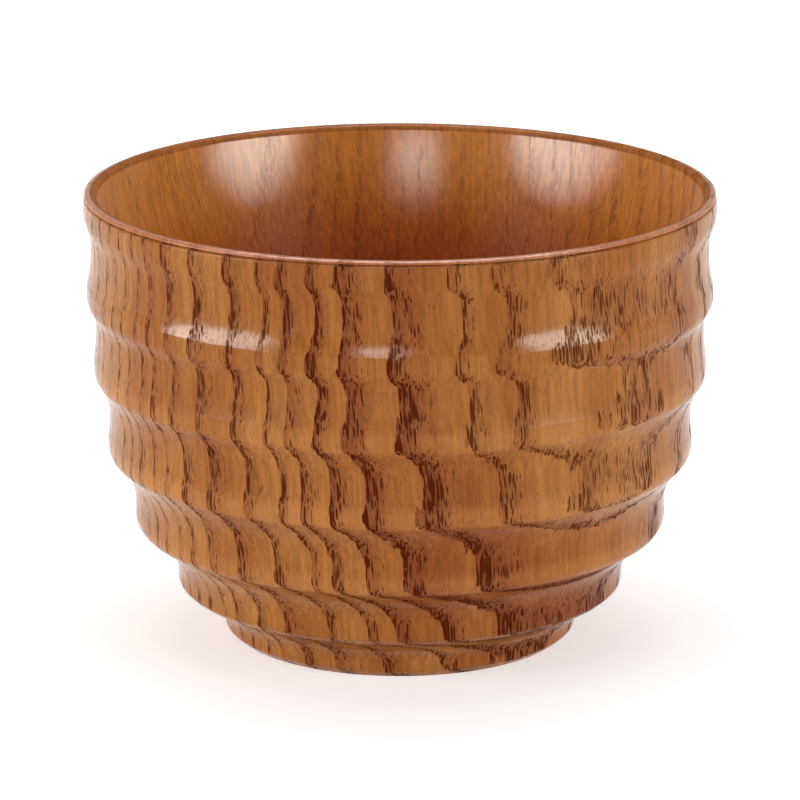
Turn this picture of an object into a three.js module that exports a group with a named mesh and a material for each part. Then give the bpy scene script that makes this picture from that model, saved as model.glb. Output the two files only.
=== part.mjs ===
// A small drinking cup turned from one block of open-grained wood, with a lacquer lining in its bowl.
// Millimetres, +Z up. The origin is the centre of the foot's resting face, and +Z is the turning axis.
import * as THREE from "three";

// The rim. Its bead is the widest ring of the cup, and the lip is the rounded edge that is drunk from.
const RIM_RADIUS = 45;
const LIP_THICKNESS = 1.9;
const LIP_ROLL = 1;
const LIP_SHOULDER = { drop: 1.05, inset: 0.05, slope: 2 };
const RIM_BEAD_DROP = 2.8;

// The rings cut round the outside, from the rim down. In each ring a hollow cove draws the wall in, a land flares
// gently out to a crisp edge, a bead runs almost upright below it, and a nose rounds in to the edge of the next cove.
// Drops are heights, and insets and rises are changes of radius. Slopes are degrees from upright: of the land and the
// bead where they meet, of the nose above the edge, and of the next cove below it. The upper two edges are soft.
const RIM_NOSE = { drop: 2.4, inset: 0.6, slope: 20, coveSlope: 20 };
const RING_1 = {
  coveDrop: 3, coveInset: 0.36, landDrop: 5.2, landRise: 0.62, landSlope: 13, beadSlope: 3, beadDrop: 1.5,
  beadRise: 0.05, noseDrop: 1.8, noseInset: 0.55, noseSlope: 33, nextCoveSlope: 33,
};
const RING_2 = {
  coveDrop: 2.4, coveInset: 0.69, landDrop: 5.1, landRise: 0.36, landSlope: 8, beadSlope: 3, beadDrop: 1.2,
  beadRise: 0.03, noseDrop: 1.7, noseInset: 0.4, noseSlope: 30, nextCoveSlope: 38,
};
const RING_3 = {
  coveDrop: 6.3, coveInset: 1.76, landDrop: 2.1, landRise: 0.2, landSlope: 6, beadSlope: 3, beadDrop: 1.1,
  beadRise: 0.05, noseDrop: 1.8, noseInset: 0.5, noseSlope: 40, nextCoveSlope: 48,
};
const RING_4 = {
  coveDrop: 7, coveInset: 3.3, landDrop: 0.9, landRise: 0, landSlope: 0, beadSlope: 3, beadDrop: 0.95,
  beadRise: 0.05, noseDrop: 1.75, noseInset: 0.75, noseSlope: 47, nextCoveSlope: 62,
};
const RING_5 = {
  coveDrop: 7.3, coveInset: 5.35, landDrop: 0.3, landRise: 0, landSlope: 0, beadSlope: 0, beadDrop: 0.4,
  beadRise: 0, noseDrop: 1, noseInset: 0.75, noseSlope: 46, nextCoveSlope: 65,
};
const RINGS = [RING_1, RING_2, RING_3, RING_4, RING_5];

// The foot: a last cove, a short side and a flat resting ring round a shallow recess.
const FOOT_COVE = { drop: 5.6, inset: 5.95 };
const FOOT_SIDE = { drop: 1.4, inset: 1.2, slope: 42 };
const FOOT_RING_WIDTH = 4;
const RECESS_DEPTH = 1.2;
const RECESS_BEVEL = 0.8;

// The bowl: its wall leans in from the lip over a straight run, then sweeps round to a flat floor.
const FLOOR_THICKNESS = 7;
const WALL_RUN = 16;
const WALL_LEAN = 2.25;
const FLOOR_SWEEP = 31;
const LACQUER_THICKNESS = 0.25;

// How finely the turned outline is divided.
const FACETS = 42;
const LIP_STEPS = 4;
const OUTLINE_STEP = 2.2;
const BOWL_STEPS = 10;
const HANDLE_SHARE = 0.38;

const ringHeight = (ring) => ring.coveDrop + ring.landDrop + ring.beadDrop + ring.noseDrop;
const RINGS_HEIGHT = RINGS.reduce((sum, ring) => sum + ringHeight(ring), 0);
const CUP_HEIGHT = RIM_BEAD_DROP + RIM_NOSE.drop + RINGS_HEIGHT + FOOT_COVE.drop + FOOT_SIDE.drop;
const LIP_RADIUS = RIM_RADIUS - LIP_THICKNESS / 2;
const BOWL_MOUTH_RADIUS = RIM_RADIUS - LIP_THICKNESS;
const BOWL_MOUTH_HEIGHT = CUP_HEIGHT - LIP_ROLL;

const at = (radius, height) => new THREE.Vector2(radius, height);

// Unit direction down the outside, leaning in by an angle from upright.
function downward(degrees) {
  const angle = THREE.MathUtils.degToRad(degrees);
  return at(-Math.sin(angle), -Math.cos(angle));
}

// A smooth curve between two stations of the outline that leaves and arrives at the given slopes.
function stretch(from, to, slopeFrom, slopeTo) {
  const handle = HANDLE_SHARE * from.distanceTo(to);
  const leave = from.clone().addScaledVector(downward(slopeFrom), handle);
  const arrive = to.clone().addScaledVector(downward(slopeTo), -handle);
  return new THREE.CubicBezierCurve(from, leave, arrive, to);
}

// The points of a curve after its first, which ends the curve before it.
function pointsAfterFirst(curve, steps) {
  return curve.getPoints(steps).slice(1);
}

// The outside from the top of the lip down to the foot's outer edge.
function outsideOutline() {
  const top = at(LIP_RADIUS, CUP_HEIGHT);
  const shoulder = at(RIM_RADIUS - LIP_SHOULDER.inset, CUP_HEIGHT - LIP_SHOULDER.drop);
  const over = at((LIP_RADIUS + shoulder.x) / 2, CUP_HEIGHT);
  const beside = shoulder.clone().addScaledVector(downward(-LIP_SHOULDER.slope), -LIP_SHOULDER.drop / 2);
  const lip = new THREE.CubicBezierCurve(top, over, beside, shoulder);
  const points = [top, ...pointsAfterFirst(lip, LIP_STEPS)];
  let place = shoulder;
  const follow = (drop, inset, slopeFrom, slopeTo) => {
    const next = at(place.x - inset, place.y - drop);
    const curve = stretch(place, next, slopeFrom, slopeTo);
    points.push(...pointsAfterFirst(curve, Math.ceil(curve.getLength() / OUTLINE_STEP)));
    place = next;
  };
  follow(RIM_BEAD_DROP - LIP_SHOULDER.drop, -LIP_SHOULDER.inset, -LIP_SHOULDER.slope, 0);
  follow(RIM_NOSE.drop, RIM_NOSE.inset, 0, RIM_NOSE.slope);
  let edgeSlope = RIM_NOSE.coveSlope;
  for (const ring of RINGS) {
    follow(ring.coveDrop, ring.coveInset, edgeSlope, 0);
    follow(ring.landDrop, -ring.landRise, 0, -ring.landSlope);
    follow(ring.beadDrop, -ring.beadRise, -ring.beadSlope, 0);
    follow(ring.noseDrop, ring.noseInset, 0, ring.noseSlope);
    edgeSlope = ring.nextCoveSlope;
  }
  follow(FOOT_COVE.drop, FOOT_COVE.inset, edgeSlope, 0);
  follow(FOOT_SIDE.drop, FOOT_SIDE.inset, 0, FOOT_SIDE.slope);
  return points;
}

// The inside of the bowl from its mouth down to the middle of its floor, set back into the wood by a depth.
function bowlOutline(setback) {
  const mouth = at(BOWL_MOUTH_RADIUS + setback, BOWL_MOUTH_HEIGHT);
  const floor = at(0, FLOOR_THICKNESS - setback);
  const wall = at(mouth.x - WALL_LEAN, mouth.y - WALL_RUN);
  const sweep = at(FLOOR_SWEEP + setback, floor.y);
  return new THREE.CubicBezierCurve(mouth, wall, sweep, floor).getPoints(BOWL_STEPS);
}

// The lip's inner quarter round, from the mouth of the bowl up to just short of the lip's top. It leaves the mouth in
// line with the bowl's wall.
function lipInside() {
  const mouth = at(BOWL_MOUTH_RADIUS, BOWL_MOUTH_HEIGHT);
  const top = at(LIP_RADIUS, CUP_HEIGHT);
  const corner = at(BOWL_MOUTH_RADIUS + (LIP_ROLL * WALL_LEAN) / WALL_RUN, CUP_HEIGHT);
  return new THREE.QuadraticBezierCurve(mouth, corner, top).getPoints(LIP_STEPS).slice(0, -1);
}

// The underside from its middle out to the resting ring's inner edge.
function undersideOutline(footRadius) {
  const recessRadius = footRadius - FOOT_RING_WIDTH;
  return [at(0, RECESS_DEPTH), at(recessRadius - RECESS_BEVEL, RECESS_DEPTH), at(recessRadius, 0)];
}

// A solid of revolution about +Z from an outline that runs anticlockwise, from the axis back to the axis.
function turned(name, outline, material) {
  const geometry = new THREE.LatheGeometry(outline, FACETS);
  geometry.rotateX(Math.PI / 2);
  const mesh = new THREE.Mesh(geometry, material);
  mesh.name = name;
  return mesh;
}

// The wooden body: underside, outside, lip, and the bowl as cut before it was lacquered.
function cupBody() {
  const outside = outsideOutline().reverse();
  const underside = undersideOutline(outside[0].x);
  const lip = lipInside().reverse();
  const bowl = bowlOutline(LACQUER_THICKNESS);
  const wood = new THREE.MeshStandardMaterial({ color: 0xa9713c, roughness: 0.38, metalness: 0 });
  return turned("cup_body", [...underside, ...outside, ...lip, ...bowl], wood);
}

// The lacquer lining: built up in coats over the whole bowl, and filling the wood's pores smooth.
function bowlLacquer() {
  const back = bowlOutline(LACQUER_THICKNESS).reverse();
  const face = bowlOutline(0);
  const lacquer = new THREE.MeshStandardMaterial({ color: 0x8f5a2c, roughness: 0.16, metalness: 0 });
  return turned("bowl_lacquer", [...back, ...face], lacquer);
}

const cup = new THREE.Group();
cup.add(cupBody(), bowlLacquer());

export default cup;
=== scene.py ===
"""A small turned wooden cup: the dressed surfaces, their finishes, a plain studio and the camera.

Every length in the classes is in millimetres, as a turner would write it, and meshes are made in metres.
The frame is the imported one: +Z is the turning axis and the foot's resting face is at zero height.
"""

import logging
import math
from dataclasses import dataclass, replace
from enum import Enum, IntEnum

import bpy
import numpy as np
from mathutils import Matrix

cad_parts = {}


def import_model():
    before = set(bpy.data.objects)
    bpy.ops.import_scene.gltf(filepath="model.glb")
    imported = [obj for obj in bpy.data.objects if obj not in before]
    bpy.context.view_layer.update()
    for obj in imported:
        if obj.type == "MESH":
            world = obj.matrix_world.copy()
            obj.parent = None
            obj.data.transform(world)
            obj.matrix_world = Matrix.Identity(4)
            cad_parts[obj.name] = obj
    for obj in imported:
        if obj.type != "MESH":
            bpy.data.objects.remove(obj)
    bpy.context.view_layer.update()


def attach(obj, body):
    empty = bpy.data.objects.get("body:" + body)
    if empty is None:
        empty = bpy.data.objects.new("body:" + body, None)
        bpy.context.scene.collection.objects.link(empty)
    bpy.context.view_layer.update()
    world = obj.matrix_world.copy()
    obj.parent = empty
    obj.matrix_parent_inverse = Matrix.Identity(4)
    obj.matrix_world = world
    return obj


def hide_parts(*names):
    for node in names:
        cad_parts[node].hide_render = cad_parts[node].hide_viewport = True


LOG = logging.getLogger("cup")
MILLIMETRE = 0.001
SHARP_ANGLE = 15.0
NOISE_MIDDLE = 0.5
Colour = tuple[int, int, int]
Span = tuple[float, float]


def linear(red: int, green: int, blue: int) -> tuple[float, float, float, float]:
    """Turns a screen colour of 0 to 255 into the linear colour that shaders use, by the sRGB curve.

    Args:
        red: Red, 0 to 255.
        green: Green, 0 to 255.
        blue: Blue, 0 to 255.

    Returns:
        The linear colour with full alpha.
    """
    parts = np.array([red, green, blue]) / 255.0
    curve = np.where(parts <= 0.04045, parts / 12.92, ((parts + 0.055) / 1.055) ** 2.4)
    return (*(float(part) for part in curve), 1.0)


def spread(count: int) -> np.ndarray:
    """Gives steps from 0 to 1 that crowd towards both ends: half of one minus the cosine of an even angle.

    Args:
        count: How many steps the stretch is cut into.

    Returns:
        The count + 1 values from 0 to 1.
    """
    return (1.0 - np.cos(np.linspace(0.0, math.pi, count + 1))) / 2.0


def bezier(corners: list[tuple[float, float]], share: np.ndarray) -> np.ndarray:
    """Samples a Bezier curve: each corner weighted by its Bernstein polynomial, summed.

    Args:
        corners: Three or four control points, each (radius, height).
        share: Positions along the curve from 0 to 1.

    Returns:
        Points as an (n, 2) array.
    """
    order = len(corners) - 1
    weights = [math.comb(order, k) * share**k * (1.0 - share) ** (order - k) for k in range(order + 1)]
    return np.stack(weights, axis=1) @ np.array(corners, float)


@dataclass(frozen=True)
class Ring:
    """One turned ring, from the rim down: a hollow cove, a land that flares to an edge, a bead and its nose.

    Drops are heights, insets and rises are changes of radius, and slopes are degrees from upright.
    """

    cove_drop: float
    cove_inset: float
    land_drop: float
    land_rise: float
    land_slope: float
    bead_slope: float
    bead_drop: float
    bead_rise: float
    nose_drop: float
    nose_inset: float
    nose_slope: float
    next_cove_slope: float


@dataclass(frozen=True)
class CupOutline:
    """The sizes of the turned outline, with methods that sample its stretches in millimetres."""

    rim_radius: float = 45.0
    lip_thickness: float = 1.9
    lip_roll: float = 0.85
    lip_steps: int = 14
    lip_inside_steps: int = 16
    lip_bead_drop: float = 0.45
    lip_bead_inset: float = 0.14
    quirk_drop: float = 0.6
    quirk_inset: float = 0.5
    lip_shoulder_drop: float = 1.05
    lip_shoulder_inset: float = 0.05
    lip_shoulder_slope: float = 2.0
    shoulder_top_drop: float = 0.74
    shoulder_top_inset: float = 0.2
    shoulder_round: float = 0.12
    shoulder_steps: int = 8
    rim_bead_drop: float = 2.8
    rim_nose_drop: float = 2.4
    rim_nose_inset: float = 0.6
    rim_nose_slope: float = 20.0
    rings: tuple[Ring, ...] = (
        Ring(
            cove_drop=3.0, cove_inset=0.36, land_drop=5.2, land_rise=0.62, land_slope=13.0,
            bead_slope=3.0, bead_drop=1.5, bead_rise=0.05,
            nose_drop=1.8, nose_inset=0.55, nose_slope=33.0, next_cove_slope=33.0,
        ),
        Ring(
            cove_drop=2.4, cove_inset=0.69, land_drop=5.1, land_rise=0.36, land_slope=8.0,
            bead_slope=3.0, bead_drop=1.2, bead_rise=0.03,
            nose_drop=1.7, nose_inset=0.4, nose_slope=30.0, next_cove_slope=38.0,
        ),
        Ring(
            cove_drop=6.3, cove_inset=1.76, land_drop=2.1, land_rise=0.2, land_slope=6.0,
            bead_slope=3.0, bead_drop=1.1, bead_rise=0.05,
            nose_drop=1.8, nose_inset=0.5, nose_slope=40.0, next_cove_slope=48.0,
        ),
        Ring(
            cove_drop=7.0, cove_inset=3.3, land_drop=0.9, land_rise=0.0, land_slope=0.0,
            bead_slope=3.0, bead_drop=0.95, bead_rise=0.05,
            nose_drop=1.75, nose_inset=0.75, nose_slope=47.0, next_cove_slope=62.0,
        ),
        Ring(
            cove_drop=7.3, cove_inset=5.35, land_drop=0.3, land_rise=0.0, land_slope=0.0,
            bead_slope=0.0, bead_drop=0.4, bead_rise=0.0,
            nose_drop=1.0, nose_inset=0.75, nose_slope=46.0, next_cove_slope=65.0,
        ),
    )
    foot_cove_drop: float = 5.6
    foot_cove_inset: float = 5.95
    foot_side_drop: float = 1.4
    foot_side_inset: float = 1.2
    foot_side_slope: float = 42.0
    foot_ring_width: float = 4.0
    recess_depth: float = 1.2
    recess_bevel: float = 0.8
    recess_rings: int = 12
    resting_rings: int = 3
    floor_thickness: float = 7.0
    wall_run: float = 16.0
    wall_lean: float = 2.25
    floor_sweep: float = 31.0
    lacquer_thickness: float = 0.25
    handle_share: float = 0.38
    step: float = 0.34
    fewest_steps: int = 5

    @property
    def height(self) -> float:
        """The cup's height: the sum of every drop of the outside."""
        rings = sum(r.cove_drop + r.land_drop + r.bead_drop + r.nose_drop for r in self.rings)
        ends = self.rim_bead_drop + self.rim_nose_drop + self.foot_cove_drop + self.foot_side_drop
        return rings + ends

    @property
    def lip_radius(self) -> float:
        """The radius of the lip's top."""
        return self.rim_radius - self.lip_thickness / 2.0

    @property
    def mouth_radius(self) -> float:
        """The radius of the bowl's mouth."""
        return self.rim_radius - self.lip_thickness

    @staticmethod
    def _direction(slope: float) -> np.ndarray:
        """The unit direction down the outside, leaning in by a slope in degrees."""
        return np.array([-math.sin(math.radians(slope)), -math.cos(math.radians(slope))])

    def _stretches(self) -> list[tuple[float, float, float, float]]:
        """Lists the outside below the lip's shoulder as (drop, inset, slope above, slope below).

        Returns:
            One entry for each stretch, from the rim's bead to the foot's side.
        """
        bead_drop = self.rim_bead_drop - self.lip_shoulder_drop
        listed = [(bead_drop, -self.lip_shoulder_inset, -self.lip_shoulder_slope, 0.0)]
        listed.append((self.rim_nose_drop, self.rim_nose_inset, 0.0, self.rim_nose_slope))
        edge = self.rim_nose_slope
        for ring in self.rings:
            listed.append((ring.cove_drop, ring.cove_inset, edge, 0.0))
            listed.append((ring.land_drop, -ring.land_rise, 0.0, -ring.land_slope))
            listed.append((ring.bead_drop, -ring.bead_rise, -ring.bead_slope, 0.0))
            listed.append((ring.nose_drop, ring.nose_inset, 0.0, ring.nose_slope))
            edge = ring.next_cove_slope
        listed.append((self.foot_cove_drop, self.foot_cove_inset, edge, 0.0))
        listed.append((self.foot_side_drop, self.foot_side_inset, 0.0, self.foot_side_slope))
        return listed

    def _stretch(self, start: np.ndarray, end: np.ndarray, above: float, below: float) -> np.ndarray:
        """Samples one cubic stretch whose handles follow the slopes at its two ends.

        Args:
            start: Where the stretch starts, (radius, height).
            end: Where it ends.
            above: Its slope at the start, in degrees.
            below: Its slope at the end, in degrees.

        Returns:
            Its points after the first.
        """
        chord = float(np.linalg.norm(end - start))
        handle = self.handle_share * chord
        leave = start + self._direction(above) * handle
        arrive = end - self._direction(below) * handle
        steps = max(self.fewest_steps, math.ceil(chord / self.step))
        return bezier([tuple(start), tuple(leave), tuple(arrive), tuple(end)], spread(steps))[1:]

    def outside(self) -> np.ndarray:
        """Samples the outside from the lip's top down to the foot's outer edge.

        Returns:
            Points as an (n, 2) array of radius and height.
        """
        top = (self.lip_radius, self.height)
        shoulder = np.array([
            self.rim_radius - self.lip_shoulder_inset,
            self.height - self.lip_shoulder_drop,
        ])
        bead = (self.rim_radius - self.lip_bead_inset, self.height - self.lip_bead_drop)
        quirk = (self.rim_radius - self.quirk_inset, self.height - self.quirk_drop)
        lip = bezier([top, (bead[0], self.height), bead], np.linspace(0.0, 1.0, self.lip_steps + 1))
        edge = (self.rim_radius - self.shoulder_top_inset, self.height - self.shoulder_top_drop)
        corner = (shoulder[0], edge[1] - self.shoulder_round)
        round_over = bezier([edge, corner, tuple(shoulder)], np.linspace(0.0, 1.0, self.shoulder_steps + 1))
        parts = [lip, np.array([quirk]), round_over]
        place = shoulder
        for drop, inset, above, below in self._stretches():
            below_place = place - np.array([inset, drop])
            parts.append(self._stretch(place, below_place, above, below))
            place = below_place
        return np.concatenate(parts)

    def ridges(self) -> list[Span]:
        """Lists each ring's ridge, from the end of its nose up to the edge of its land.

        Returns:
            The lower and the upper height of each ridge, from the rim down.
        """
        drop = self.rim_bead_drop + self.rim_nose_drop
        listed = []
        for ring in self.rings:
            edge = drop + ring.cove_drop + ring.land_drop
            drop = edge + ring.bead_drop + ring.nose_drop
            listed.append((self.height - drop, self.height - edge))
        return listed

    def lip_inside(self) -> np.ndarray:
        """Samples the lip's inner quarter round, from its top down to the mouth in line with the bowl's wall.

        Returns:
            Its points after the top.
        """
        top = (self.lip_radius, self.height)
        corner = (self.mouth_radius + self.lip_roll * self.wall_lean / self.wall_run, self.height)
        mouth = (self.mouth_radius, self.height - self.lip_roll)
        return bezier([top, corner, mouth], np.linspace(0.0, 1.0, self.lip_inside_steps + 1))[1:]

    def bowl(self, setback: float, steps: int) -> np.ndarray:
        """Samples the inside of the bowl from its mouth to the middle of its floor: one cubic Bezier.

        Args:
            setback: How deep in the wood the surface lies.
            steps: How many steps the curve is cut into.

        Returns:
            Points as an (n, 2) array.
        """
        mouth = (self.mouth_radius + setback, self.height - self.lip_roll)
        floor = (0.0, self.floor_thickness - setback)
        wall = (mouth[0] - self.wall_lean, mouth[1] - self.wall_run)
        sweep = (self.floor_sweep + setback, floor[1])
        return bezier([mouth, wall, sweep, floor], np.linspace(0.0, 1.0, steps + 1))

    def underside(self, foot_radius: float) -> np.ndarray:
        """Samples the underside from the axis out to just inside the foot's outer edge.

        Args:
            foot_radius: The radius of the foot's outer edge.

        Returns:
            Points as an (n, 2) array: the recess, its bevel and the resting ring.
        """
        inner = foot_radius - self.foot_ring_width
        recess = np.linspace(0.0, inner - self.recess_bevel, self.recess_rings)
        bevel = np.array([[inner - self.recess_bevel / 2.0, self.recess_depth / 2.0], [inner, 0.0]])
        resting = np.linspace(inner, foot_radius, self.resting_rings + 2)[1:-1]
        return np.concatenate([
            np.stack([recess, np.full(self.recess_rings, self.recess_depth)], axis=1),
            bevel,
            np.stack([resting, np.zeros(self.resting_rings)], axis=1),
        ])


def turned_mesh(name: str, outline: np.ndarray, segments: int) -> bpy.types.Object:
    """Turns an outline about +Z: each point (radius, height) becomes (radius cos a, radius sin a, height).

    The outline starts and ends on the axis and runs anticlockwise, so the faces point outwards. Its first and
    last points are single pole vertices joined by triangles, and the last column of quads joins the first.

    Args:
        name: The object's name.
        outline: Points (radius, height) in millimetres.
        segments: How many columns go round.

    Returns:
        The new object, linked to the scene.
    """
    angle = np.linspace(0.0, 2.0 * math.pi, segments, endpoint=False)
    ring = outline[1:-1]
    radius = ring[:, :1]
    grid = np.stack([
        radius * np.cos(angle),
        radius * np.sin(angle),
        np.repeat(ring[:, 1:], segments, axis=1),
    ], axis=2).reshape(-1, 3)
    poles = np.array([[0.0, 0.0, outline[0, 1]], [0.0, 0.0, outline[-1, 1]]])
    vertices = np.concatenate([grid, poles]) * MILLIMETRE
    rows = len(ring)
    column = np.arange(segments)
    following = (column + 1) % segments
    row = np.arange(rows - 1)[:, None] * segments
    next_row = row + segments
    quads = np.stack([row + column, row + following, next_row + following, next_row + column], axis=2)
    first = np.stack([np.full(segments, rows * segments), following, column], axis=1)
    last_row = (rows - 1) * segments
    last = np.stack([np.full(segments, rows * segments + 1), last_row + column, last_row + following], axis=1)
    corners = np.concatenate([quads.reshape(-1), first.reshape(-1), last.reshape(-1)])
    sizes = np.concatenate([np.full(quads.size // 4, 4), np.full(2 * segments, 3)])
    mesh = bpy.data.meshes.new(name)
    mesh.vertices.add(len(vertices))
    mesh.vertices.foreach_set("co", vertices.astype(np.float32).ravel())
    mesh.loops.add(len(corners))
    mesh.loops.foreach_set("vertex_index", corners.astype(np.int32))
    mesh.polygons.add(len(sizes))
    mesh.polygons.foreach_set("loop_start", (np.cumsum(sizes) - sizes).astype(np.int32))
    mesh.polygons.foreach_set("use_smooth", np.ones(len(sizes), bool))
    mesh.update(calc_edges=True)
    mesh.validate()
    mesh.set_sharp_from_angle(angle=math.radians(SHARP_ANGLE))
    piece = bpy.data.objects.new(name, mesh)
    bpy.context.scene.collection.objects.link(piece)
    return piece


class NodeBoard:
    """A small bench for laying out one material's or one world's nodes."""

    def __init__(self, tree: bpy.types.NodeTree) -> None:
        """Keeps the tree and clears it."""
        self.tree = tree
        tree.nodes.clear()

    def add(self, kind: str, **inputs: object) -> bpy.types.Node:
        """Adds a node and sets or links its inputs.

        Args:
            kind: Blender's node type.
            inputs: Values or sockets by input name, with spaces written as underscores.

        Returns:
            The new node.
        """
        node = self.tree.nodes.new(kind)
        for name, value in inputs.items():
            self.feed(node.inputs[name.replace("_", " ")], value)
        return node

    def feed(self, socket: bpy.types.NodeSocket, value: object) -> None:
        """Links a socket from another socket, or sets its value.

        Args:
            socket: The input.
            value: A socket to link from, or a number, vector or colour.
        """
        if isinstance(value, bpy.types.NodeSocket):
            self.tree.links.new(value, socket)
        else:
            socket.default_value = value

    def math(self, operation: str, *values: object, clamp: bool = False) -> bpy.types.NodeSocket:
        """Adds a Math node.

        Args:
            operation: Its operation.
            values: Numbers or sockets, in order.
            clamp: Whether the result is kept from 0 to 1.

        Returns:
            Its output.
        """
        node = self.tree.nodes.new("ShaderNodeMath")
        node.operation = operation
        node.use_clamp = clamp
        for socket, value in zip(node.inputs, values):
            self.feed(socket, value)
        return node.outputs[0]

    def vector(self, operation: str, *values: object) -> bpy.types.NodeSocket:
        """Adds a Vector Math node.

        Args:
            operation: Its operation.
            values: Vectors, numbers or sockets, in order.

        Returns:
            Its vector output, or its value for a length.
        """
        node = self.tree.nodes.new("ShaderNodeVectorMath")
        node.operation = operation
        for socket, value in zip(node.inputs, values):
            self.feed(socket, value)
        return node.outputs["Value"] if operation == "LENGTH" else node.outputs["Vector"]

    def scaled(self, place: bpy.types.NodeSocket, factor: tuple[float, float, float]) -> bpy.types.NodeSocket:
        """Stretches a place by a factor for each axis."""
        return self.vector("MULTIPLY", place, factor)

    def remap(
        self, value: object, low: object, high: object, to_low: object, to_high: object
    ) -> bpy.types.NodeSocket:
        """Adds a smooth Map Range from one span to another, held at both ends.

        Args:
            value: What is mapped.
            low: Where the span starts.
            high: Where it ends.
            to_low: What the start becomes.
            to_high: What the end becomes.

        Returns:
            Its result.
        """
        node = self.tree.nodes.new("ShaderNodeMapRange")
        node.interpolation_type = "SMOOTHSTEP"
        for socket, given in zip(node.inputs, (value, low, high, to_low, to_high)):
            self.feed(socket, given)
        return node.outputs["Result"]

    def curve(self, value: bpy.types.NodeSocket, points: list[Span]) -> bpy.types.NodeSocket:
        """Adds a Float Curve with straight lines between its points.

        Args:
            value: What the curve reads, from 0 to 1.
            points: Its points from left to right, each from 0 to 1.

        Returns:
            Its output.
        """
        node = self.add("ShaderNodeFloatCurve", Value=value)
        line = node.mapping.curves[0]
        for _ in range(len(points) - 2):
            line.points.new(0.5, 0.5)
        for point, place in zip(line.points, points):
            point.location = place
            point.handle_type = "VECTOR"
        node.mapping.update()
        return node.outputs["Value"]

    def blend(self, share: object, first: object, second: object, mode: str = "MIX") -> bpy.types.NodeSocket:
        """Adds a colour Mix node.

        Args:
            share: How much of the second colour shows.
            first: The colour underneath.
            second: The colour on top.
            mode: Blender's blend mode.

        Returns:
            Its colour.
        """
        node = self.tree.nodes.new("ShaderNodeMix")
        node.data_type = "RGBA"
        node.blend_type = mode
        for name, value in (("Factor_Float", share), ("A_Color", first), ("B_Color", second)):
            socket = next(s for s in node.inputs if s.identifier == name)
            self.feed(socket, value)
        return next(s for s in node.outputs if s.identifier == "Result_Color")


@dataclass(frozen=True)
class GrowthRings:
    """Where the tree's rings run through the block that the cup was turned from.

    The pith is a line beside the cup. It passes through pith_x, pith_y at mid height and leans by lean_x and
    lean_y for each millimetre of height. Widths are the rings' widths, outwards from first_radius.
    """

    pith_x: float = -65.6
    pith_y: float = 64.3
    mid_height: float = 33.0
    lean_x: float = -0.061
    lean_y: float = -0.041
    first_radius: float = 45.6
    widths: tuple[float, ...] = (
        4.0, 4.0, 5.1, 2.8, 2.8, 3.6, 2.6, 2.6, 3.5, 3.0, 4.0, 3.5, 3.1, 3.8, 2.7, 3.8, 4.2,
        5.3, 4.2, 2.3, 3.0, 2.7, 4.0, 4.4, 2.4, 2.5, 3.6, 4.0,
    )
    strengths: tuple[float, ...] = (
        0.3, 0.3, 0.35, 0.55, 0.5, 0.6, 0.5, 0.3, 0.35, 0.3, 0.4, 0.4, 0.45, 0.45, 0.55, 0.6, 0.7,
        0.75, 0.75, 0.8, 0.85, 0.95, 1.0, 0.95, 0.75, 0.6, 0.55, 0.5,
    )

    def fibre_place(self, board: NodeBoard) -> bpy.types.NodeSocket:
        """Gives each point's place in millimetres from the pith line, so that the fibres run along its Z.

        Args:
            board: The nodes to add to.

        Returns:
            The place.
        """
        coordinate = board.add("ShaderNodeTexCoord").outputs["Object"]
        place = board.vector("SCALE", coordinate)
        place.node.inputs["Scale"].default_value = 1.0 / MILLIMETRE
        height = board.add("ShaderNodeSeparateXYZ", Vector=place).outputs["Z"]
        above = board.math("SUBTRACT", height, self.mid_height)
        lean = (self.lean_x, self.lean_y, 0.0)
        pith = board.vector("MULTIPLY_ADD", lean, above, (self.pith_x, self.pith_y, 0.0))
        return board.vector("SUBTRACT", place, pith)

    def count(self, board: NodeBoard, radius: bpy.types.NodeSocket) -> bpy.types.NodeSocket:
        """Counts rings outwards from the first: whole numbers fall on the ring borders.

        Args:
            board: The nodes to add to.
            radius: The distance from the pith, in millimetres.

        Returns:
            The running count.
        """
        span = sum(self.widths)
        edges = np.concatenate([[0.0], np.cumsum(self.widths)]) / span
        counts = np.linspace(0.0, 1.0, len(edges))
        share = board.math("DIVIDE", board.math("SUBTRACT", radius, self.first_radius), span)
        line = board.curve(share, list(zip(edges.tolist(), counts.tolist())))
        return board.math("MULTIPLY", line, float(len(self.widths)))


@dataclass(frozen=True)
class PoreSize:
    """One size of pore. Spacing is in millimetres, stretch is width over length, and the rest are shares."""

    spacing: float
    stretch: float
    least: float
    growth: float
    softness: float
    depth: float


@dataclass(frozen=True)
class GrainNoise:
    """A soft noise drawn out along or across the fibres. Across and along scale the place it reads."""

    across: float
    along: float
    scale: float
    detail: float
    rough: float = 0.5

    def node(self, board: NodeBoard, place: bpy.types.NodeSocket) -> bpy.types.Node:
        """Adds the Noise texture.

        Args:
            board: The nodes to add to.
            place: The fibre place.

        Returns:
            The new node.
        """
        drawn = board.scaled(place, (self.across, self.across, self.along))
        return board.add(
            "ShaderNodeTexNoise", Vector=drawn, Scale=self.scale, Detail=self.detail, Roughness=self.rough
        )

    def value(self, board: NodeBoard, place: bpy.types.NodeSocket) -> bpy.types.NodeSocket:
        """Adds the noise and gives its value, which is about NOISE_MIDDLE on average."""
        return self.node(board, place).outputs["Fac"]


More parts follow.
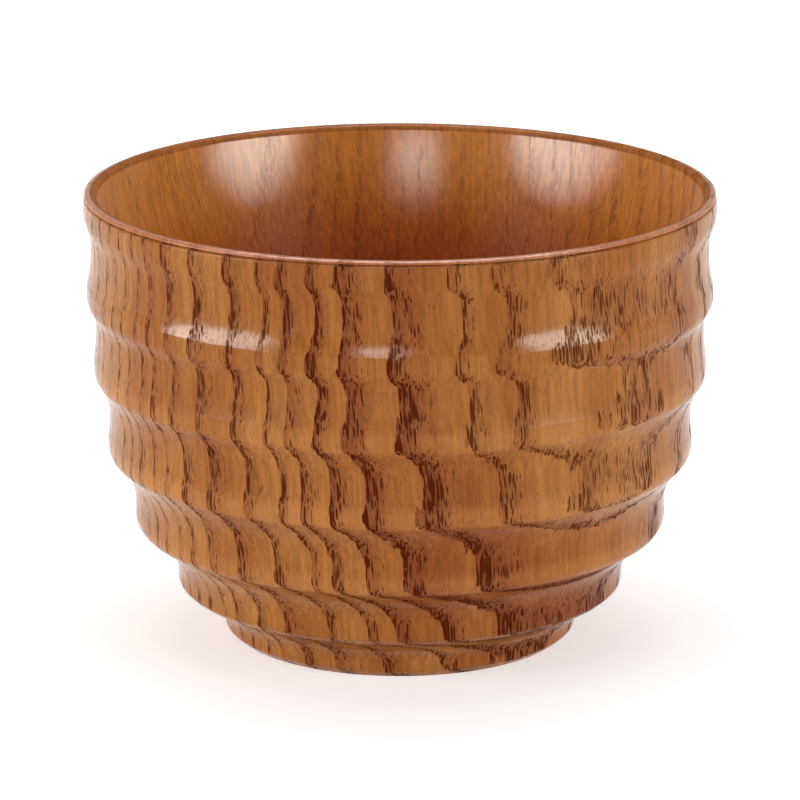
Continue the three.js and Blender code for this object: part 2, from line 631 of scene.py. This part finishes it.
@dataclass(frozen=True)
class GrainFigure:
    """How the wood's lines wander and vary. Reaches and fades are in millimetres, and the rest are shares."""

    slow_bend: GrainNoise = GrainNoise(across=1.0, along=0.3, scale=0.06, detail=1.0)
    slow_reach: float = 1.6
    jagged_bend: GrainNoise = GrainNoise(across=1.0, along=0.16, scale=0.75, detail=3.0, rough=0.6)
    jagged_reach: float = 1.5
    narrowest_band: float = 0.35
    band_fade: tuple[Span, ...] = (
        (0.0, 1.0), (0.13, 1.0), (0.28, 0.78), (0.44, 0.42), (0.62, 0.13), (0.85, 0.0), (1.0, 0.0),
    )
    band_share: float = 0.64
    pore_drift: GrainNoise = GrainNoise(across=0.5, along=0.12, scale=1.0, detail=2.0)
    drift_reach: float = 0.9
    pore_breaks: GrainNoise = GrainNoise(across=0.8, along=0.2, scale=0.7, detail=2.0)
    break_span: Span = (0.36, 0.56)
    least_unbroken: float = 0.6
    weakest_pores: float = 0.65
    weakest_stain: float = 0.65
    pore_roughness: float = 0.18
    pore_dulling: float = 0.85
    clouds: GrainNoise = GrainNoise(across=1.0, along=0.25, scale=0.11, detail=3.0)
    cloud_span: Span = (0.35, 0.65)
    streaks: GrainNoise = GrainNoise(across=1.0, along=0.035, scale=1.7, detail=4.0, rough=0.6)
    streak_span: Span = (0.25, 0.75)
    streak_shades: Span = (0.72, 1.14)
    fibres: GrainNoise = GrainNoise(across=1.0, along=0.05, scale=2.6, detail=3.0)
    fibre_relief: float = 0.12
    turning_marks: GrainNoise = GrainNoise(across=0.04, along=1.0, scale=2.4, detail=2.0)
    ridge_fades: tuple[float, float, float, float] = (-0.5, 0.4, -0.8, 0.7)
    haze_roughness: float = 0.5


@dataclass(frozen=True)
class OpenGrainWood:
    """Ring-porous wood under clear coats.

    Each ring starts with a sharp dark band of wide pores and fades to dense pale wood. The pores are long
    tubes along the fibres: dashes on upright faces, and dots where a cove cuts across them. Depths are in
    millimetres. Dense tints the strongest rings, and white tints nothing. The painted ridge light is painted
    light: a paler colour on each ring's ridge, for the light that the ridges catch. The painted bowl shade is
    painted shade: it darkens the wood below a given height, towards the bottom of the bowl.
    """

    name: str
    pale: Colour
    warm: Colour
    early: Colour
    pore: Colour
    pore_depth: float
    pore_matt: float
    turning_depth: float
    ring_contrast: float
    roughness: float
    coat_roughness: float
    rings: GrowthRings = GrowthRings()
    figure: GrainFigure = GrainFigure()
    dense: Colour = (255, 255, 255)
    # Painted light on the ridges: their paler colour, and each ring's share of it from the rim down.
    painted_ridge_light: Colour = (220, 150, 88)
    ridge_light_shares: tuple[float, ...] = (0.0, 0.0, 0.0, 0.0, 0.0)
    # Painted shade: the colour that darkens the bowl towards its bottom, and the heights over which it comes
    # in.
    painted_bowl_shade: Colour = (255, 255, 255)
    bowl_shade_from: float = 60.0
    bowl_shade_to: float = 44.0
    wide_pores: PoreSize = PoreSize(
        spacing=0.34, stretch=0.085, least=0.0, growth=0.6, softness=0.09, depth=1.0
    )
    fine_pores: PoreSize = PoreSize(
        spacing=0.2, stretch=0.1, least=0.17, growth=0.3, softness=0.09, depth=0.45
    )
    coat_ior: float = 1.22
    coat: float = 1.0
    haze: float = 0.0

    def material(self) -> bpy.types.Material:
        """Builds the material.

        Returns:
            The new material.
        """
        made = bpy.data.materials.new(self.name)
        made.use_nodes = True
        board = NodeBoard(made.node_tree)
        place = self.rings.fibre_place(board)
        early, strength = self._earlywood(board, place)
        holes = self._pores(board, place, early, strength)
        colour = self._colour(board, place, early, strength, holes)
        figure = self.figure
        fibres = figure.fibres.value(board, place)
        turned = figure.turning_marks.value(board, place)
        relief = board.math("MULTIPLY", fibres, figure.fibre_relief * self.pore_depth)
        relief = board.math("MULTIPLY_ADD", turned, self.turning_depth, relief)
        height = board.math("MULTIPLY_ADD", holes, -self.pore_depth, relief)
        bump = board.add("ShaderNodeBump", Height=height, Strength=1.0, Distance=MILLIMETRE)
        rough = board.math("MULTIPLY_ADD", holes, figure.pore_roughness, self.roughness)
        dulling = figure.pore_dulling * self.pore_matt * self.coat
        shader = board.add(
            "ShaderNodeBsdfPrincipled", Base_Color=colour, Roughness=rough, Normal=bump.outputs["Normal"],
            Coat_Weight=board.math("MULTIPLY_ADD", holes, -dulling, self.coat),
            Coat_Roughness=self.coat_roughness, Coat_IOR=self.coat_ior, Specular_IOR_Level=0.0,
            Sheen_Weight=self.haze, Sheen_Roughness=figure.haze_roughness,
        )
        board.feed(shader.inputs["Coat Normal"], bump.outputs["Normal"])
        board.add("ShaderNodeOutputMaterial", Surface=shader.outputs["BSDF"])
        return made

    def _earlywood(
        self, board: NodeBoard, place: bpy.types.NodeSocket
    ) -> tuple[bpy.types.NodeSocket, bpy.types.NodeSocket]:
        """Finds how far into a ring's early band each point lies.

        The distance from the pith is bent a little by slow and by jagged noise and turned into a ring count.
        The count's fraction goes through a curve that jumps to 1 at the border and fades before the next. A
        weak ring's band is narrower as well as fainter.

        Args:
            board: The nodes to add to.
            place: The fibre place.

        Returns:
            The early band from 0 to 1, and the ring's own strength from 0 to 1.
        """
        figure = self.figure
        radius = board.vector("LENGTH", board.scaled(place, (1.0, 1.0, 0.0)))
        slow = board.math("SUBTRACT", figure.slow_bend.value(board, place), NOISE_MIDDLE)
        jagged = board.math("SUBTRACT", figure.jagged_bend.value(board, place), NOISE_MIDDLE)
        bent = board.math("MULTIPLY_ADD", slow, figure.slow_reach, radius)
        bent = board.math("MULTIPLY_ADD", jagged, figure.jagged_reach, bent)
        count = self.rings.count(board, bent)
        index = board.math("FLOOR", count)
        last = len(self.rings.strengths) - 1
        steps = [(k / last, value) for k, value in enumerate(self.rings.strengths)]
        strength = board.curve(board.math("DIVIDE", index, float(last)), steps)
        width = board.math("MULTIPLY_ADD", strength, 1.0 - figure.narrowest_band, figure.narrowest_band)
        fraction = board.math("DIVIDE", board.math("FRACT", count), width, clamp=True)
        return board.curve(fraction, list(figure.band_fade)), strength

    def _pores(
        self,
        board: NodeBoard,
        place: bpy.types.NodeSocket,
        early: bpy.types.NodeSocket,
        strength: bpy.types.NodeSocket,
    ) -> bpy.types.NodeSocket:
        """Draws the pores: long Voronoi cells whose cores widen and run together in the early band.

        Args:
            board: The nodes to add to.
            place: The fibre place.
            early: The early band.
            strength: The ring's own strength.

        Returns:
            1 in a pore and 0 in wood.
        """
        figure = self.figure
        drift = figure.pore_drift.node(board, place).outputs["Color"]
        centred = board.vector("SUBTRACT", drift, (NOISE_MIDDLE, NOISE_MIDDLE, NOISE_MIDDLE))
        offset = board.vector("MULTIPLY", centred, (figure.drift_reach, figure.drift_reach, 0.0))
        moved = board.vector("ADD", place, offset)
        breaks = figure.pore_breaks.value(board, place)
        unbroken = board.remap(breaks, *figure.break_span, figure.least_unbroken, 1.0)
        fullness = board.math("MULTIPLY_ADD", strength, 1.0 - figure.weakest_pores, figure.weakest_pores)
        reach = board.math("MULTIPLY", board.math("MULTIPLY", early, fullness), unbroken)
        wide = self._tubes(board, moved, reach, self.wide_pores)
        fine = self._tubes(board, moved, reach, self.fine_pores)
        return board.math("MAXIMUM", wide, fine)

    def _tubes(
        self,
        board: NodeBoard,
        place: bpy.types.NodeSocket,
        reach: bpy.types.NodeSocket,
        kind: PoreSize,
    ) -> bpy.types.NodeSocket:
        """Draws one size of pore: a long cell's core is as wide as its least plus its growth times the reach.

        Args:
            board: The nodes to add to.
            place: The fibre place, moved by the pores' drift.
            reach: How full of pores the place is: the early band in a strong ring, and less in a weak one.
            kind: The size of pore.

        Returns:
            The pore's depth of colour in a core, and 0 in wood.
        """
        cells = board.add(
            "ShaderNodeTexVoronoi", Vector=board.scaled(place, (1.0, 1.0, kind.stretch)),
            Scale=1.0 / kind.spacing, Randomness=1.0,
        )
        core = board.math("MULTIPLY_ADD", reach, kind.growth, kind.least)
        inner = board.math("SUBTRACT", core, kind.softness)
        outer = board.math("ADD", core, kind.softness)
        return board.remap(cells.outputs["Distance"], inner, outer, kind.depth, 0.0)

    def _colour(
        self,
        board: NodeBoard,
        place: bpy.types.NodeSocket,
        early: bpy.types.NodeSocket,
        strength: bpy.types.NodeSocket,
        holes: bpy.types.NodeSocket,
    ) -> bpy.types.NodeSocket:
        """Colours the wood: pale and warm wood in clouds and streaks, brown early bands, dark pores, painted
        light on the ridges and painted shade low in the bowl.

        Args:
            board: The nodes to add to.
            place: The fibre place.
            early: The early band.
            strength: The ring's own strength.
            holes: The pores.

        Returns:
            The colour.
        """
        figure = self.figure
        cloudy = board.remap(figure.clouds.value(board, place), *figure.cloud_span, 0.0, 1.0)
        base = board.blend(cloudy, linear(*self.pale), linear(*self.warm))
        shade = board.remap(figure.streaks.value(board, place), *figure.streak_span, *figure.streak_shades)
        grey = board.add("ShaderNodeCombineColor", Red=shade, Green=shade, Blue=shade).outputs["Color"]
        base = board.blend(1.0, base, grey, "MULTIPLY")
        redder = board.blend(1.0, base, linear(*self.dense), "MULTIPLY")
        squared = board.math("MULTIPLY", strength, strength)
        base = board.blend(board.math("MULTIPLY", squared, squared), base, redder)
        height = board.add("ShaderNodeSeparateXYZ", Vector=place).outputs["Z"]
        # Painted light: a paler colour on each ridge, for the light that the ridges catch from below.
        base = board.blend(self._ridge_light_share(board, height), base, linear(*self.painted_ridge_light))
        # Painted shade: the wood is darker towards the bottom of the bowl.
        bowl_shade_share = board.remap(height, self.bowl_shade_to, self.bowl_shade_from, 1.0, 0.0)
        base = board.blend(bowl_shade_share, base, board.blend(1.0, base, linear(*self.painted_bowl_shade), "MULTIPLY"))
        deepest = figure.band_share * self.ring_contrast
        band = board.math("MULTIPLY", board.math("MULTIPLY", early, squared), deepest)
        base = board.blend(band, base, linear(*self.early))
        weakest = figure.weakest_stain * self.ring_contrast
        stain = board.math("MULTIPLY_ADD", strength, self.ring_contrast - weakest, weakest)
        return board.blend(board.math("MULTIPLY", holes, stain), base, linear(*self.pore))

    def _ridge_light_share(self, board: NodeBoard, height: bpy.types.NodeSocket) -> bpy.types.NodeSocket:
        """Finds the share of the painted ridge light: a curve over the height that rises on each ridge.

        The four fades say how far from the ridge's lower and upper end the curve leaves zero, is full, starts
        to fall and is zero again.

        Args:
            board: The nodes to add to.
            height: The height in millimetres.

        Returns:
            The share of the painted ridge light.
        """
        outline = CupOutline()
        leave, full, hold, end = self.figure.ridge_fades
        points = [(0.0, 0.0)]
        for (low, high), share in reversed(list(zip(outline.ridges(), self.ridge_light_shares))):
            corners = ((low + leave, 0.0), (low + full, share), (high + hold, share), (high + end, 0.0))
            points.extend((place / outline.height, value) for place, value in corners)
        points.append((1.0, 0.0))
        return board.curve(board.math("DIVIDE", height, outline.height), points)


class BodySlot(IntEnum):
    """The body's material slots, in order."""

    OPEN_WOOD = 0
    INNER_LIP = 1
    OUTER_LIP = 2


@dataclass
class CupBody:
    """The wooden body: its underside, ringed outside, lip, and the bowl as cut under the lacquer."""

    outline: CupOutline
    finish: OpenGrainWood
    lip_finish: OpenGrainWood
    edge_finish: OpenGrainWood
    segments: int = 300
    hidden_bowl_steps: int = 24

    def build(self) -> bpy.types.Object:
        """Turns the body and dresses it.

        Returns:
            The finished piece.
        """
        outside = self.outline.outside()[::-1]
        underside = self.outline.underside(float(outside[0, 0]))
        lip = self.outline.lip_inside()
        bowl = self.outline.bowl(self.outline.lacquer_thickness, self.hidden_bowl_steps)
        piece = turned_mesh("turned_body", np.concatenate([underside, outside, lip, bowl]), self.segments)
        piece.data.materials.append(self.finish.material())
        piece.data.materials.append(self.lip_finish.material())
        piece.data.materials.append(self.edge_finish.material())
        lip_row = len(underside) + len(outside) - 2
        lip_start = (lip_row - self.outline.lip_steps) * self.segments
        lip_top = lip_row * self.segments
        lip_end = (lip_row + len(lip)) * self.segments
        slots = np.full(len(piece.data.polygons), BodySlot.OPEN_WOOD, np.int32)
        slots[lip_start:lip_top] = BodySlot.OUTER_LIP
        slots[lip_top:lip_end] = BodySlot.INNER_LIP
        piece.data.polygons.foreach_set("material_index", slots)
        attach(piece, "root")
        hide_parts("cup_body")
        return piece


@dataclass
class BowlLining:
    """The lacquer film that lines the bowl and fills the wood's pores."""

    outline: CupOutline
    finish: OpenGrainWood
    segments: int = 300
    steps: int = 110
    back_steps: int = 24

    def build(self) -> bpy.types.Object:
        """Turns the lining and dresses it.

        Returns:
            The finished piece.
        """
        back = self.outline.bowl(self.outline.lacquer_thickness, self.back_steps)[::-1]
        face = self.outline.bowl(0.0, self.steps)
        piece = turned_mesh("bowl_lining", np.concatenate([back, face]), self.segments)
        piece.data.materials.append(self.finish.material())
        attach(piece, "root")
        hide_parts("bowl_lacquer")
        return piece


class LampRole(Enum):
    """What a lamp is for: lighting the cup's colours, or showing as a reflection in its coats."""

    FILL = "fill"
    SHEEN = "sheen"


@dataclass(frozen=True)
class Softbox:
    """One soft studio lamp that faces the cup. Azimuth 0 is towards the camera, and angles are in degrees."""

    name: str
    role: LampRole
    azimuth: float
    elevation: float
    width: float
    height: float
    brightness: float
    distance: float = 1.2

    def build(self) -> bpy.types.Object:
        """Places the lamp: its power is its brightness times its box's area times pi.

        Returns:
            The lamp.
        """
        lamp = bpy.data.lights.new(self.name, "AREA")
        lamp.shape = "ELLIPSE"
        lamp.size = 2.0 * self.distance * math.tan(math.radians(self.width / 2.0))
        lamp.size_y = 2.0 * self.distance * math.tan(math.radians(self.height / 2.0))
        lamp.energy = self.brightness * lamp.size * lamp.size_y * math.pi
        holder = bpy.data.objects.new(self.name, lamp)
        holder.visible_diffuse = self.role is LampRole.FILL
        holder.visible_glossy = self.role is LampRole.SHEEN
        bpy.context.scene.collection.objects.link(holder)
        turn = math.radians(self.azimuth)
        rise = math.radians(self.elevation)
        middle = CupOutline().height * MILLIMETRE / 2.0
        level = self.distance * math.cos(rise)
        above = middle + self.distance * math.sin(rise)
        holder.location = (level * math.sin(turn), -level * math.cos(turn), above)
        holder.rotation_euler = (math.pi / 2.0 - rise, 0.0, turn)
        return holder


@dataclass(frozen=True)
class Studio:
    """A plain pale floor, soft lamps round the cup and a pale surround that is dimmer on the camera's side.

    Each lamp is listed by its name, role, azimuth, elevation, width, height and brightness. The spans are
    depths in the world, from -1 towards the camera to 1 behind the cup, over which the surround and the
    backdrop rise.
    """

    lamps: tuple[Softbox, ...] = (
        Softbox("left_fill", LampRole.FILL, -66.0, 12.0, 56.0, 30.0, 4.2),
        Softbox("right_fill", LampRole.FILL, 61.0, 12.0, 46.0, 30.0, 4.2),
        Softbox("overhead_fill", LampRole.FILL, 180.0, 75.0, 60.0, 60.0, 0.8),
        Softbox("left_sheen", LampRole.SHEEN, -69.0, 5.0, 48.0, 10.0, 22.5),
        Softbox("middle_sheen", LampRole.SHEEN, -6.5, 9.0, 20.0, 4.6, 20.0),
        Softbox("right_sheen", LampRole.SHEEN, 61.0, 4.8, 38.0, 10.4, 21.5),
        Softbox("overhead_sheen", LampRole.SHEEN, 180.0, 80.0, 60.0, 60.0, 16.0),
    )
    floor_half_side: float = 4.0
    floor_gap: float = 0.02
    floor_colour: Colour = (236, 236, 236)
    floor_glow: float = 0.5
    floor_bounce: float = 0.15
    surround_front: float = 0.2
    surround_back: float = 0.75
    surround_span: Span = (-0.35, 0.55)
    backdrop_span: Span = (-0.1, 0.45)

    def build(self) -> None:
        """Builds the floor, the surround and the lamps."""
        self._floor()
        self._surround()
        for lamp in self.lamps:
            lamp.build()

    @staticmethod
    def _mirrored(board: NodeBoard, path: bpy.types.NodeOutputs) -> bpy.types.NodeSocket:
        """Gives 1 for rays that see the background by reflection or through glass."""
        return board.math("MAXIMUM", path["Is Glossy Ray"], path["Is Transmission Ray"])

    def _floor(self) -> None:
        """Lays the floor: pale, matt, and glowing faintly like a lit table, with the cup's shadow kept."""
        half = self.floor_half_side
        mesh = bpy.data.meshes.new("floor")
        level = -self.floor_gap * MILLIMETRE
        corners = [(-half, -half, level), (half, -half, level), (half, half, level), (-half, half, level)]
        mesh.from_pydata(corners, [], [(0, 1, 2, 3)])
        floor = bpy.data.objects.new("floor", mesh)
        bpy.context.scene.collection.objects.link(floor)
        made = bpy.data.materials.new("floor_paper")
        made.use_nodes = True
        board = NodeBoard(made.node_tree)
        paper = board.add("ShaderNodeBsdfDiffuse", Color=linear(*self.floor_colour))
        path = board.add("ShaderNodeLightPath").outputs
        seen = board.math("MAXIMUM", path["Is Camera Ray"], self._mirrored(board, path))
        strength = board.math("MULTIPLY_ADD", seen, self.floor_glow - self.floor_bounce, self.floor_bounce)
        glow = board.add("ShaderNodeEmission", Strength=strength)
        both = board.tree.nodes.new("ShaderNodeAddShader")
        board.feed(both.inputs[0], paper.outputs[0])
        board.feed(both.inputs[1], glow.outputs[0])
        board.add("ShaderNodeOutputMaterial", Surface=both.outputs[0])
        mesh.materials.append(made)

    def _surround(self) -> None:
        """Sets the world: dim before the cup and brighter behind it, and white where the backdrop is seen."""
        world = bpy.data.worlds.new("surround")
        world.use_nodes = True
        bpy.context.scene.world = world
        board = NodeBoard(world.node_tree)
        direction = board.add("ShaderNodeTexCoord").outputs["Generated"]
        depth = board.add("ShaderNodeSeparateXYZ", Vector=direction).outputs["Y"]
        light = board.remap(depth, *self.surround_span, self.surround_front, self.surround_back)
        backdrop = board.remap(depth, *self.backdrop_span, 0.0, 1.0)
        path = board.add("ShaderNodeLightPath").outputs
        mirrored = board.math("MULTIPLY", self._mirrored(board, path), backdrop)
        seen = board.math("MAXIMUM", path["Is Camera Ray"], mirrored)
        strength = board.math("MAXIMUM", light, seen)
        back = board.add("ShaderNodeBackground", Strength=strength)
        board.add("ShaderNodeOutputWorld", Surface=back.outputs[0])


@dataclass(frozen=True)
class ViewCamera:
    """The camera at the photograph's viewing angle. Clips are in metres, and the rest in millimetres."""

    back: float = 657.0
    height: float = 213.4
    aim_height: float = 33.7
    lens: float = 213.0
    sensor: float = 36.0
    clip_near: float = 0.01
    clip_far: float = 50.0

    def build(self) -> bpy.types.Object:
        """Places the camera in front of the cup, looking down at its axis.

        Returns:
            The camera.
        """
        made = bpy.data.cameras.new("front_camera")
        made.lens = self.lens
        made.sensor_width = self.sensor
        made.clip_start = self.clip_near
        made.clip_end = self.clip_far
        holder = bpy.data.objects.new("front_camera", made)
        bpy.context.scene.collection.objects.link(holder)
        holder.location = (0.0, -self.back * MILLIMETRE, self.height * MILLIMETRE)
        drop = math.atan2(self.height - self.aim_height, self.back)
        holder.rotation_euler = (math.pi / 2.0 - drop, 0.0, 0.0)
        bpy.context.scene.camera = holder
        return holder


# The outside's ridges get painted light: a paler colour on each ridge.
OUTSIDE_WOOD = OpenGrainWood(
    name="open_grain_wood", pale=(180, 120, 60), warm=(164, 100, 43), early=(114, 45, 9),
    pore=(84, 29, 4), pore_depth=0.09, pore_matt=1.0, turning_depth=0.0, ring_contrast=1.0, roughness=0.45,
    coat_roughness=0.13, dense=(238, 220, 209), ridge_light_shares=(0.0, 0.19, 0.25, 0.21, 0.0),
)
# The lining gets painted shade: darker towards the bottom of the bowl.
LINED_WOOD = OpenGrainWood(
    name="lacquered_wood", pale=(204, 131, 49), warm=(196, 120, 40), early=(144, 77, 23),
    pore=(86, 36, 10), pore_depth=0.006, pore_matt=0.3, turning_depth=0.004, ring_contrast=0.52,
    roughness=0.4, coat_roughness=0.2, painted_bowl_shade=(226, 186, 130), haze=0.22, coat_ior=1.36,
)
# The inner lip is painted darker than the lining, for the shade on its round, and has only a thin coat:
# painted shade.
SHADE_PAINTED_LIP = replace(
    LINED_WOOD, name="shade_painted_lip_wood", pale=(174, 108, 58), warm=(162, 97, 48), coat=0.1, haze=0.0,
)
# The lip's outer round is painted a light pink that stands for the sheen reflected on it, with fainter grain:
# painted sheen.
SHEEN_PAINTED_EDGE = replace(
    OUTSIDE_WOOD, name="sheen_painted_edge_wood", pale=(196, 126, 82), warm=(188, 117, 73), ring_contrast=0.35,
    pore_depth=0.02, coat_ior=1.25,
)


def main() -> None:
    """Builds the cup, the studio and the camera in order."""
    logging.basicConfig(level=logging.INFO, format="%(message)s")
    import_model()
    outline = CupOutline()
    bpy.context.scene.view_settings.view_transform = "Standard"
    ViewCamera().build()
    Studio().build()
    for part in (CupBody(outline, OUTSIDE_WOOD, SHADE_PAINTED_LIP, SHEEN_PAINTED_EDGE), BowlLining(outline, LINED_WOOD)):
        piece = part.build()
        LOG.info("%s: %d vertices, %d faces", piece.name, len(piece.data.vertices), len(piece.data.polygons))


if __name__ == "__main__":
    main()
